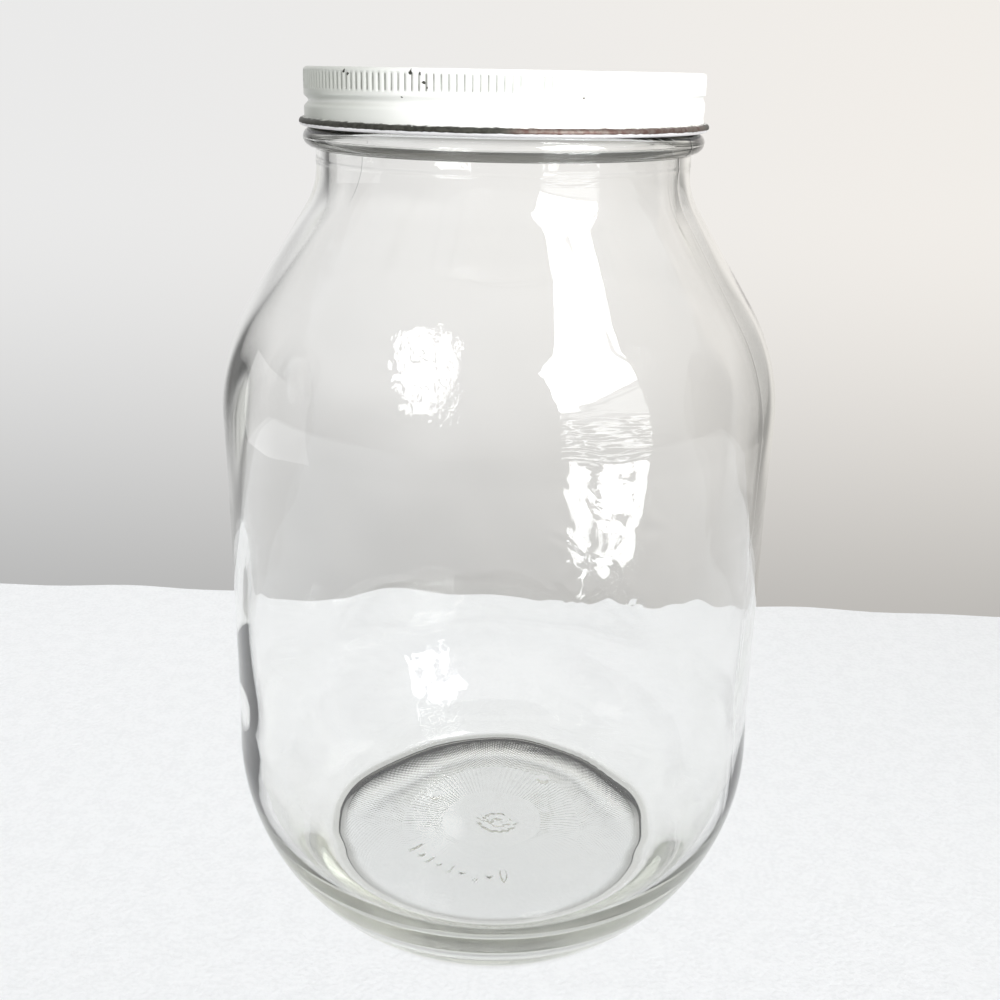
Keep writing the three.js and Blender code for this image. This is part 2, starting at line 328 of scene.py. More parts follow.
@dataclass
class JarGlass:
    """The glass jar: foot, heel, label panel, shoulder, neck, bead, finish and thread."""

    foot_inner_radius: float = 54.4 * MM
    foot_radius: float = 58.2 * MM
    heel_radius: float = 82.5 * MM
    heel_height: float = 51 * MM
    heel_foot_pull: float = 2 * MM
    heel_top_pull: float = 30.8 * MM
    label_bottom: Pair = (82.1 * MM, 63 * MM)
    label_top: Pair = (81.9 * MM, 134 * MM)
    shoulder_radius: float = 82.3 * MM
    shoulder_height: float = 160.8 * MM
    shoulder_arc: float = 57.7 * MM
    shoulder_slope: float = 32.1
    neck_radius: float = 53.2 * MM
    neck_fillet: float = 21 * MM
    neck_fillet_top: float = 229.9 * MM
    bead_height: float = 237.5 * MM
    bead_reach: float = 3.4 * MM
    bead_half_thickness: float = 2.9 * MM
    finish_radius: float = 53.0 * MM
    finish_bottom: float = 241.0 * MM
    rim_height: float = 255.3 * MM
    rim_rounding: float = 1.5 * MM
    mouth_radius: float = 49.2 * MM
    wall: float = 3.6 * MM
    floor_edge: Pair = (46 * MM, 9.6 * MM)
    floor_middle_height: float = 12 * MM
    floor_edge_pull: float = 12 * MM
    floor_middle_pull: float = 18 * MM
    inner_heel_height: float = 53 * MM
    inner_heel_top_pull: float = 29 * MM
    inner_heel_floor_pull: float = 16 * MM
    push_up_height: float = 6.5 * MM
    push_up_pull: float = 24 * MM
    push_up_edge: Pair = (53.9 * MM, 0.4 * MM)
    push_up_edge_handle: Pair = (38 * MM, 3.5 * MM)
    thread_pitch: float = 5.08 * MM
    thread_reach: float = 1.5 * MM
    thread_half_base: float = 1.4 * MM
    thread_start: float = math.radians(105)
    thread_end: float = math.radians(400)
    thread_height_left: float = 244.46 * MM
    thread_fade: float = 0.5
    thread_crest: float = 0.25
    seam_angle: float = math.radians(61)
    seam_height: float = 0.10 * MM
    seam_half_width: float = 0.3 * MM
    seam_rise: Pair = (1 * MM, 4 * MM)
    seam_clear: Pair = (212 * MM, 226 * MM)
    seam_faint: float = 0.12
    ring_line_height: float = 231.2 * MM
    ring_line_half_width: float = 0.35 * MM
    ring_line_reach: float = 0.13 * MM
    sides: int = 230
    seam_turns: tuple[float, ...] = (-0.5, -0.34, -0.17, 0, 0.17, 0.34, 0.5)
    # First angle, last angle and step in degrees, where the sections stand closer together.
    ripple_turns: tuple[float, float, float] = (4.2, 36, 0.8)
    back_ripple_turns: tuple[float, float, float] = (182.3, 216, 0.8)
    closest_turn: float = math.radians(0.12)
    outer_waves_rise: Pair = (6 * MM, 40 * MM)
    outer_waves_fall: Pair = (226 * MM, 233 * MM)
    inner_waves_rise: Pair = (26 * MM, 80 * MM)
    inner_waves_fall: Pair = (215 * MM, 236 * MM)
    waves_outside: Waves = Waves(0.035 * MM, 90 * MM, 34 * MM, 14, 4)
    waves_inside: Waves = Waves(0.22 * MM, 100 * MM, 26 * MM, 20, 9)
    patches: tuple[RipplePatch, ...] = (
        RipplePatch(math.radians(19), 171 * MM, math.radians(15), 12 * MM,
                    0.014 * MM, 2.6 * MM, 0.10, 1.1 * MM, 3),
        RipplePatch(math.radians(20), 144 * MM, math.radians(13), 20 * MM,
                    0.06 * MM, 11 * MM, 0.9, 6 * MM, 12),
    )
    patches_inside: tuple[RipplePatch, ...] = (
        RipplePatch(math.radians(-160), 149 * MM, math.radians(15), 24 * MM,
                    0.09 * MM, 6.5 * MM, 0.4, 8 * MM, 7),
        RipplePatch(math.radians(-165), 229 * MM, math.radians(24), 16 * MM,
                    0.07 * MM, 5.5 * MM, 0.4, 5 * MM, 5),
        RipplePatch(math.radians(-163), 22 * MM, math.radians(18), 24 * MM,
                    0.05 * MM, 9 * MM, -0.6, 6 * MM, 8),
    )

    def outline(self) -> Outline:
        """Trace the half-section from the middle of the underside round to the floor.

        Returns:
            The finished outline.
        """
        path = Outline(step=1.7 * MM)
        shoulder_centre = (self.shoulder_radius - self.shoulder_arc, self.shoulder_height)
        fillet_centre = (self.neck_radius + self.neck_fillet, self.neck_fillet_top)
        path.start(0.0, self.push_up_height, Zone.UNDERSIDE)
        path.bezier((self.push_up_pull, self.push_up_height), self.push_up_edge_handle, self.push_up_edge,
                    step=0.75 * MM)
        path.line(self.foot_inner_radius, 0.0, step=0.4 * MM)
        path.zone = Zone.BODY
        path.line(self.foot_radius, 0.0, step=0.9 * MM)
        path.bezier((self.foot_radius + self.heel_foot_pull, 0.0),
                    (self.heel_radius, self.heel_height - self.heel_top_pull),
                    (self.heel_radius, self.heel_height), step=1.3 * MM)
        path.line(*self.label_bottom)
        path.line(*self.label_top)
        path.line(self.shoulder_radius, self.shoulder_height, step=0.65 * MM)
        path.arc(shoulder_centre, (self.shoulder_arc,) * 2, (0, self.shoulder_slope), step=0.65 * MM)
        path.line(*on_circle(fillet_centre, self.neck_fillet, 180 + self.shoulder_slope), step=0.9 * MM)
        path.arc(fillet_centre, (self.neck_fillet,) * 2, (180 + self.shoulder_slope, 180), step=0.9 * MM)
        path.line(self.neck_radius, self.bead_height - self.bead_half_thickness, step=0.35 * MM)
        path.arc((self.neck_radius, self.bead_height), (self.bead_reach, self.bead_half_thickness),
                 (-90, 90), step=0.45 * MM)
        path.zone = Zone.FINISH
        path.line(self.finish_radius, self.finish_bottom)
        path.line(self.finish_radius, self.rim_height - self.rim_rounding, step=0.45 * MM)
        low_rim = self.rim_height - self.rim_rounding
        path.arc((self.finish_radius - self.rim_rounding, low_rim), (self.rim_rounding,) * 2, (0, 90),
                 step=0.4 * MM)
        path.zone = Zone.INSIDE
        path.arc((self.mouth_radius + self.rim_rounding, low_rim), (self.rim_rounding,) * 2, (90, 180),
                 step=0.4 * MM)
        path.line(fillet_centre[0] - self.neck_fillet - self.wall, self.neck_fillet_top)
        path.arc(fillet_centre, (self.neck_fillet + self.wall,) * 2, (180, 180 + self.shoulder_slope))
        path.line(*on_circle(shoulder_centre, self.shoulder_arc - self.wall, self.shoulder_slope))
        path.arc(shoulder_centre, (self.shoulder_arc - self.wall,) * 2, (self.shoulder_slope, 0))
        inner = self.heel_radius - self.wall
        path.line(inner, self.inner_heel_height, step=1.2 * MM)
        path.bezier((inner, self.inner_heel_height - self.inner_heel_top_pull),
                    (self.floor_edge[0] + self.inner_heel_floor_pull, self.floor_edge[1]), self.floor_edge)
        path.zone = Zone.FLOOR
        path.bezier((self.floor_edge[0] - self.floor_edge_pull, self.floor_edge[1]),
                    (self.floor_middle_pull, self.floor_middle_height), (0.0, self.floor_middle_height))
        return path

    def angles(self) -> Array:
        """Give where the section stands, closer together at the seams and the ripples.

        Returns:
            Rising angles in radians, all round.
        """
        even = np.linspace(0, 2 * math.pi, self.sides, endpoint=False)
        near_seam = np.radians(self.seam_turns)
        seams = [self.seam_angle + half_turn + near_seam for half_turn in (0, math.pi)]
        ripples = np.radians(np.arange(*self.ripple_turns))
        back_ripples = np.radians(np.arange(*self.back_ripple_turns))
        every = np.sort(np.concatenate([even, *seams, ripples, back_ripples]) % (2 * math.pi))
        apart = np.diff(every, append=every[0] + 2 * math.pi)
        return every[apart > self.closest_turn]

    def relief(self, angle: Array, radius: Array, height: Array, zone: Array) -> Array:
        """Give how far the glass stands out from its plain round form.

        Args:
            angle: Angles round the axis.
            radius: Radii of the outline's points.
            height: Heights of the outline's points.
            zone: Zone numbers of the outline's points.

        Returns:
            Offsets along the outline's normals.
        """
        body = zone == Zone.BODY.value
        inside = zone == Zone.INSIDE.value
        free = body * fade(height, *self.outer_waves_rise) * (1 - fade(height, *self.outer_waves_fall))
        out = free * self.waves_outside.at(angle, height, self.heel_radius)
        for patch in self.patches:
            out = out + free * patch.at(angle, height, self.heel_radius)
        blown = inside * fade(height, *self.inner_waves_rise) * (1 - fade(height, *self.inner_waves_fall))
        out = out + blown * self.waves_inside.at(angle, height, self.heel_radius)
        for patch in self.patches_inside:
            out = out + inside * patch.at(angle, height, self.heel_radius)
        seen = self.seam_faint + (1 - self.seam_faint) * fade(height, *self.seam_clear)
        out = out + body * fade(height, *self.seam_rise) * seen * self._seams(angle)
        ring_line = np.exp(-((height - self.ring_line_height) / self.ring_line_half_width) ** 2)
        out = out + body * self.ring_line_reach * ring_line
        out = out + (zone == Zone.UNDERSIDE.value) * BaseMarks().at(angle, radius)
        return out + (zone == Zone.FINISH.value) * self._thread(angle, height)

    def _seams(self, angle: Array) -> Array:
        """Give the two upright mould seams, half a turn apart."""
        width = self.seam_half_width / self.heel_radius
        both = sum(np.exp(-(turn_apart(angle, self.seam_angle + turn) / width) ** 2) for turn in (0, math.pi))
        return self.seam_height * both

    def _thread(self, angle: Array, height: Array) -> Array:
        """Give the thread's ridge, which climbs to the right and fades out at its ends."""
        ridge = np.zeros(np.broadcast_shapes(angle.shape, height.shape))
        left = -0.5 * math.pi
        for turn in (0, 2 * math.pi):
            along = angle + turn
            ends = fade(along, self.thread_start, self.thread_start + self.thread_fade)
            ends = ends * (1 - fade(along, self.thread_end - self.thread_fade, self.thread_end))
            middle = self.thread_height_left + self.thread_pitch * (along - left) / (2 * math.pi)
            off = np.abs(height - middle) / self.thread_half_base
            ridge = np.maximum(ridge, ends * self.thread_reach * (1 - fade(off, self.thread_crest, 1.0)))
        return ridge


@dataclass(frozen=True)
class BaseMarks:
    """Plain raised marks under the base: a ring in the middle, dots, and a row of bars."""

    ring_middle: Pair = (1.8 * MM, 1.5 * MM)
    ring_radii: tuple[float, ...] = (4.4 * MM, 2.0 * MM)
    ring_half_width: float = 0.5 * MM
    relief_height: float = 0.6 * MM
    row_radius: float = 29.5 * MM
    row_first: float = math.radians(-60)
    row_last: float = math.radians(8)
    row_count: int = 9
    row_spots: tuple[Pair, Pair] = ((3.2 * MM, 1.1 * MM), (1.5 * MM, 1.4 * MM))
    dot_spot: Pair = (1.9 * MM, 1.9 * MM)
    ring_edge: Pair = (0.5, 1.6)
    spot_edge: Pair = (0.6, 1.15)
    dots: tuple[Pair, ...] = ((25.0 * MM, math.radians(-129)), (29.4 * MM, math.radians(148)))

    def at(self, angle: Array, radius: Array) -> Array:
        """Give the marks' height on the underside.

        Args:
            angle: Angles round the axis.
            radius: Distances from the axis.

        Returns:
            Offsets, zero between the marks.
        """
        right = radius * np.sin(angle) - self.ring_middle[0]
        back = -radius * np.cos(angle) - self.ring_middle[1]
        away_from_ring = np.hypot(right, back)
        total = np.zeros_like(away_from_ring)
        for ring_radius in self.ring_radii:
            off = np.abs(away_from_ring - ring_radius) / self.ring_half_width
            total = np.maximum(total, 1 - fade(off, *self.ring_edge))
        for index in range(self.row_count):
            middle = self.row_first + (self.row_last - self.row_first) * index / (self.row_count - 1)
            spot = self._spot(angle, radius, self.row_radius, middle, self.row_spots[index % 2])
            total = np.maximum(total, spot)
        for away, middle in self.dots:
            total = np.maximum(total, self._spot(angle, radius, away, middle, self.dot_spot))
        return self.relief_height * total

    def _spot(self, angle: Array, radius: Array, away: float, middle: float, half_sizes: Pair) -> Array:
        """Give a soft-edged spot that is long towards the axis.

        Args:
            angle: Angles round the axis.
            radius: Distances from the axis.
            away: The spot's own distance from the axis.
            middle: The spot's angle.
            half_sizes: Half its length along the radius, and half its width across.

        Returns:
            Numbers from 0 to 1.
        """
        along = (radius - away) / half_sizes[0]
        across = turn_apart(angle, middle) * away / half_sizes[1]
        return 1 - fade(np.hypot(across, along), *self.spot_edge)


@dataclass
class ScrewLid:
    """The white metal lid: stepped panel, knurled edge, rolled thread groove and curl."""

    top: float = 256.0 * MM
    radius: float = 56.0 * MM
    corner: float = 1.2 * MM
    sheet: float = 0.4 * MM
    panel_radius: float = 45.0 * MM
    panel_step: float = 1.4 * MM
    panel_depth: float = 0.75 * MM
    knurl_count: int = 184
    knurl_depth: float = 0.5 * MM
    knurl_top: float = 254.8 * MM
    knurl_bottom: float = 250.3 * MM
    band_bottom: float = 243.0 * MM
    curl_height: float = 241.6 * MM
    curl_radius: float = 1.15 * MM
    curl_centre: float = 56.35 * MM
    groove_left: float = 247.0 * MM
    groove_pitch: float = 5.08 * MM
    groove_start: float = math.radians(-290)
    groove_end: float = math.radians(100)
    groove_fade: float = math.radians(35)
    groove_depth: float = 1.2 * MM
    groove_half_width: float = 1.7 * MM
    samples_per_knurl: int = 6
    knurl_run_out: float = 0.3 * MM
    knurl_flanks: Pair = (0.1, 0.85)
    knurl_lower_end: Pair = (-0.1 * MM, 0.5 * MM)
    knurl_upper_end: Pair = (-0.3 * MM, 0.35 * MM)
    curl_turn: Pair = (-230, 108)
    dents: Waves = Waves(0.03 * MM, 45 * MM, 12 * MM, 12, 21)
    dents_fade: float = 0.4 * MM

    def outline(self) -> Outline:
        """Trace the half-section from the middle of the top, over the wall and back inside.

        Returns:
            The finished outline, running inwards, with its right side outwards.
        """
        path = Outline(step=3 * MM)
        wall = self.radius - self.sheet
        under = self.top - self.sheet
        corner = (self.radius - self.corner, self.top - self.corner)
        path.start(0.0, under - self.panel_depth, Zone.LINING)
        path.line(self.panel_radius, under - self.panel_depth, step=9 * MM)
        path.line(self.panel_radius + self.panel_step, under)
        path.line(corner[0] - self.knurl_depth, under)
        path.line(wall - self.knurl_depth, corner[1], step=0.8 * MM)
        path.line(wall - self.knurl_depth, self.knurl_bottom)
        path.line(wall, self.knurl_bottom - self.knurl_run_out)
        path.line(wall, self.band_bottom, step=0.9 * MM)
        path.zone = Zone.CURL
        curl = (self.curl_centre, self.curl_height)
        path.arc(curl, (self.curl_radius,) * 2, self.curl_turn, step=0.28 * MM)
        path.zone = Zone.BAND
        path.line(self.radius, self.band_bottom, step=0.3 * MM)
        path.line(self.radius, self.knurl_bottom - self.knurl_run_out, step=0.4 * MM)
        path.zone = Zone.KNURL
        path.line(self.radius, self.knurl_bottom, step=0.15 * MM)
        path.line(self.radius, corner[1], step=0.4 * MM)
        path.arc(corner, (self.corner,) * 2, (0, 90), step=0.25 * MM)
        path.zone = Zone.PANEL
        path.line(self.panel_radius + self.panel_step, self.top, step=1.1 * MM)
        path.line(self.panel_radius, self.top - self.panel_depth, step=0.35 * MM)
        path.line(0.0, self.top - self.panel_depth, step=4 * MM)
        return path

    def angles(self) -> Array:
        """Give evenly spaced angles with the same number in each knurl."""
        return np.linspace(0, 2 * math.pi, self.knurl_count * self.samples_per_knurl, endpoint=False)

    def relief(self, angle: Array, radius: Array, height: Array, zone: Array) -> Array:
        """Give how far the sheet stands in or out from its plain round form.

        Args:
            angle: Angles round the axis.
            radius: Radii of the outline's points.
            height: Heights of the outline's points.
            zone: Zone numbers of the outline's points.

        Returns:
            Offsets along the outline's normals.
        """
        tooth = np.abs(np.sin(0.5 * self.knurl_count * angle))
        groove = 1 - fade(tooth, *self.knurl_flanks)
        upright = fade(height - self.knurl_bottom, *self.knurl_lower_end)
        upright = upright * (1 - fade(height - self.knurl_top, *self.knurl_upper_end))
        out = -self.knurl_depth * groove * upright * (zone == Zone.KNURL.value)
        band = (zone == Zone.BAND.value) * 1.0
        lining = (zone == Zone.LINING.value) * (height < self.knurl_bottom) * 1.0
        out = out - (band - lining) * self._groove(angle, height)
        outer = fade(radius - self.curl_centre, -self.dents_fade, self.dents_fade)
        return out + (zone == Zone.CURL.value) * outer * self.dents.at(angle, height, self.radius)

    def _groove(self, angle: Array, height: Array) -> Array:
        """Give how deep the rolled thread groove is, rising to the right with faded ends."""
        front = turn_apart(angle, 0.0)
        sink = np.zeros(np.broadcast_shapes(angle.shape, height.shape))
        for turn in (-2 * math.pi, 0.0):
            along = front + turn
            ends = fade(along, self.groove_start, self.groove_start + self.groove_fade)
            ends = ends * (1 - fade(along, self.groove_end - self.groove_fade, self.groove_end))
            middle = self.groove_left + self.groove_pitch * (along + math.pi / 2) / (2 * math.pi)
            off = np.clip(np.abs(height - middle) / self.groove_half_width, 0.0, 1.0)
            sink = np.maximum(sink, self.groove_depth * np.cos(off * math.pi / 2) ** 2 * ends)
        return sink


@dataclass(frozen=True)
class Grain:
    """Even noise: its cycles to a metre, its octaves of finer noise, and how much it adds."""

    scale: float
    detail: float
    reach: float = 1.0


@dataclass
class Nodes:
    """The node tree of a material, a light or the world, with short calls that add to it."""

    tree: bpy.types.NodeTree

    def add(self, kind: str, **values: Any) -> bpy.types.Node:
        """Add a node and set its own properties.

        Args:
            kind: Blender's name of the node's type.
            **values: Properties of the node itself.

        Returns:
            The new node.
        """
        node = self.tree.nodes.new(kind)
        for name, value in values.items():
            setattr(node, name, value)
        return node

    def join(self, source: Socket, target: Socket) -> None:
        """Link an output to an input."""
        self.tree.links.new(source, target)

    def feed(self, target: Socket, value: Any) -> None:
        """Give an input a link or a plain value.

        Args:
            target: The input.
            value: An output socket, a number or a colour.
        """
        if isinstance(value, Socket):
            self.join(value, target)
        else:
            target.default_value = value

    def math(self, operation: str, first: Any, second: Any = 0.0, third: Any = 0.0) -> Socket:
        """Work something out from up to three numbers.

        Args:
            operation: Blender's name of the operation.
            first: First number or socket.
            second: Second number or socket.
            third: Third number or socket.

        Returns:
            The result's socket.
        """
        node = self.add("ShaderNodeMath", operation=operation)
        for target, value in zip(node.inputs, (first, second, third)):
            self.feed(target, value)
        return node.outputs[0]

    def ramp(self, value: Any, low: float, high: float) -> Socket:
        """Ease a number from 0 at low to 1 at high; high may be the smaller one.

        Args:
            value: The number's socket.
            low: Where the result is 0.
            high: Where the result is 1.

        Returns:
            The result's socket.
        """
        node = self.add("ShaderNodeMapRange", interpolation_type="SMOOTHSTEP")
        self.feed(node.inputs["Value"], value)
        node.inputs["From Min"].default_value = low
        node.inputs["From Max"].default_value = high
        return node.outputs["Result"]

    def follow(self, value: Socket, points: tuple[Pair, ...]) -> Any:
        """Follow straight lines from point to point, level beyond both ends.

        Args:
            value: The number's socket.
            points: Pairs of a number, rising, and the result there.

        Returns:
            The result's socket.
        """
        total: Any = points[0][1]
        for (low, start), (high, end) in zip(points, points[1:]):
            node = self.add("ShaderNodeMapRange")
            self.feed(node.inputs["Value"], value)
            node.inputs["From Min"].default_value = low
            node.inputs["From Max"].default_value = high
            node.inputs["To Min"].default_value = 0.0
            node.inputs["To Max"].default_value = end - start
            total = self.math("ADD", node.outputs["Result"], total)
        return total

    def blend(self, share: Any, first: Any, second: Any) -> Socket:
        """Blend two numbers, with a share from 0 to 1 of the second."""
        rest = self.math("SUBTRACT", 1.0, share)
        return self.math("ADD", self.times(first, rest), self.times(second, share))

    def times(self, first: Any, *others: Any) -> Any:
        """Multiply numbers or sockets together."""
        for other in others:
            first = self.math("MULTIPLY", first, other)
        return first

    def wave(self, value: Socket, rate: float) -> Socket:
        """Give the sine of a number times a rate."""
        return self.math("SINE", self.times(value, rate))

    def band(self, value: Any, rise: Pair, fall: Pair) -> Socket:
        """Mark a stretch of a number, easing from 0 to 1 over the rise and back over the fall."""
        return self.times(self.ramp(value, *rise), self.ramp(value, fall[1], fall[0]))

    def noise(self, place: Socket, grain: Grain) -> Socket:
        """Give even noise, mostly from 0.25 to 0.75, at a place in metres."""
        node = self.add("ShaderNodeTexNoise")
        self.join(place, node.inputs["Vector"])
        node.inputs["Scale"].default_value = grain.scale
        node.inputs["Detail"].default_value = grain.detail
        return node.outputs["Fac"]

    def disturb(self, value: Any, place: Socket, grain: Grain) -> Socket:
        """Add noise to a number, as much as the grain's reach."""
        return self.math("MULTIPLY_ADD", self.noise(place, grain), grain.reach, value)

    def mix(self, share: Any, first: Any, second: Any, kind: str = "MIX") -> Socket:
        """Blend two colours.

        Args:
            share: How much of the second, from 0 to 1.
            first: First colour or socket.
            second: Second colour or socket.
            kind: Blender's name of the way that they blend.

        Returns:
            The blended colour's socket.
        """
        node = self.add("ShaderNodeMixRGB", blend_type=kind)
        for target, value in zip(node.inputs, (share, first, second)):
            self.feed(target, value)
        return node.outputs[0]

    def bump(self, height: Socket, depth: float) -> Socket:
        """Turn a height between 0 and 1 into a surface normal.

        Args:
            height: The height's socket.
            depth: How high 1 stands, in metres.

        Returns:
            The normal's socket.
        """
        node = self.add("ShaderNodeBump")
        node.inputs["Distance"].default_value = depth
        self.join(height, node.inputs["Height"])
        return node.outputs["Normal"]

    def place(self) -> Socket:
        """Give the place on the piece, in metres from the middle of the foot."""
        return self.add("ShaderNodeTexCoord").outputs["Object"]

    def split(self, place: Socket) -> tuple[Socket, ...]:
        """Split a place into its x, y and z."""
        node = self.add("ShaderNodeSeparateXYZ")
        self.join(place, node.inputs[0])
        return tuple(node.outputs)

    def around(self, place: Socket) -> tuple[Socket, ...]:
        """Give the angle from the front, the radius and the height of a place.

        Args:
            place: The place's socket.

        Returns:
            Sockets of the angle in radians, from -pi to pi, and of the radius and height.
        """
        x, y, z = self.split(place)
        angle = self.math("ARCTAN2", x, self.times(y, -1.0))
        radius = self.math("SQRT", self.math("ADD", self.times(x, x), self.times(y, y)))
        return angle, radius, z


def new_material(name: str) -> tuple[bpy.types.Material, Nodes, bpy.types.Node, bpy.types.Node]:
    """Make a material with one Principled shader.

    Args:
        name: Name of the material.

    Returns:
        The material, its nodes, the shader and the output node.
    """
    material = bpy.data.materials.new(name)
    material.use_nodes = True
    nodes = Nodes(material.node_tree)
    shader = material.node_tree.nodes["Principled BSDF"]
    output = material.node_tree.nodes["Material Output"]
    return material, nodes, shader, output


@dataclass(frozen=True)
class ClearGlass:
    """Clear glass with a faint olive tint in its depth, stippled under the base."""

    refraction: float = 1.52
    roughness: float = 0.0
    tint: Colour = (0.42, 0.47, 0.30, 1.0)
    density: float = 6.5
    stipple_depth: float = 0.05 * MM
    row_spacing: float = 1.45 * MM
    dash_count: int = 118
    dot_count: int = 176
    dash_zone: Pair = (16 * MM, 30.5 * MM)
    dot_zone: Pair = (31.5 * MM, 50.5 * MM)
    zone_edge: float = 0.8 * MM
    uneven: Grain = Grain(260.0, 2.0, 1.6)
    uneven_least: float = 0.2

    def make(self, name: str = "jar_glass") -> bpy.types.Material:
        """Make the smooth glass.

        Args:
            name: Name of the material.

        Returns:
            The glass.
        """
        material, nodes, shader, output = new_material(name)
        shader.inputs["Base Color"].default_value = WHITE
        shader.inputs["Roughness"].default_value = self.roughness
        shader.inputs["IOR"].default_value = self.refraction
        shader.inputs["Transmission Weight"].default_value = 1.0
        absorption = nodes.add("ShaderNodeVolumeAbsorption")
        absorption.inputs["Color"].default_value = self.tint
        absorption.inputs["Density"].default_value = self.density
        nodes.join(absorption.outputs["Volume"], output.inputs["Volume"])
        return material

    def make_stippled(self) -> bpy.types.Material:
        """Make the glass of the underside, with a ring of dashes and rows of dots.

        Returns:
            The stippled glass.
        """
        material = self.make("jar_glass_stippled")
        nodes = Nodes(material.node_tree)
        place = nodes.place()
        angle, radius, _ = nodes.around(place)
        dashes = nodes.math("ABSOLUTE", nodes.wave(angle, self.dash_count / 2))
        spokes = nodes.wave(angle, self.dot_count)
        rows = nodes.wave(radius, 2 * math.pi / self.row_spacing)
        dots = nodes.math("MULTIPLY_ADD", nodes.times(spokes, rows), 0.5, 0.5)
        relief = nodes.math("ADD", nodes.times(dashes, self._within(nodes, radius, self.dash_zone)),
                            nodes.times(dots, self._within(nodes, radius, self.dot_zone)))
        uneven = nodes.disturb(self.uneven_least, place, self.uneven)
        normal = nodes.bump(nodes.times(relief, uneven), self.stipple_depth)
        nodes.join(normal, material.node_tree.nodes["Principled BSDF"].inputs["Normal"])
        return material

    def _within(self, nodes: Nodes, radius: Socket, zone: Pair) -> Socket:
        """Mark the ring between two radii, with soft edges."""
        return nodes.band(radius, (zone[0] - self.zone_edge, zone[0]), (zone[1], zone[1] + self.zone_edge))


@dataclass(frozen=True)
class Chip:
    """A spot where the enamel is gone: its angle in degrees, height and radius."""

    angle: float
    height: float
    size: float

    def middle(self, radius: float) -> Vector:
        """Give the spot's middle on a wall of a radius."""
        turn = math.radians(self.angle)
        return Vector((radius * math.sin(turn), -radius * math.cos(turn), self.height))


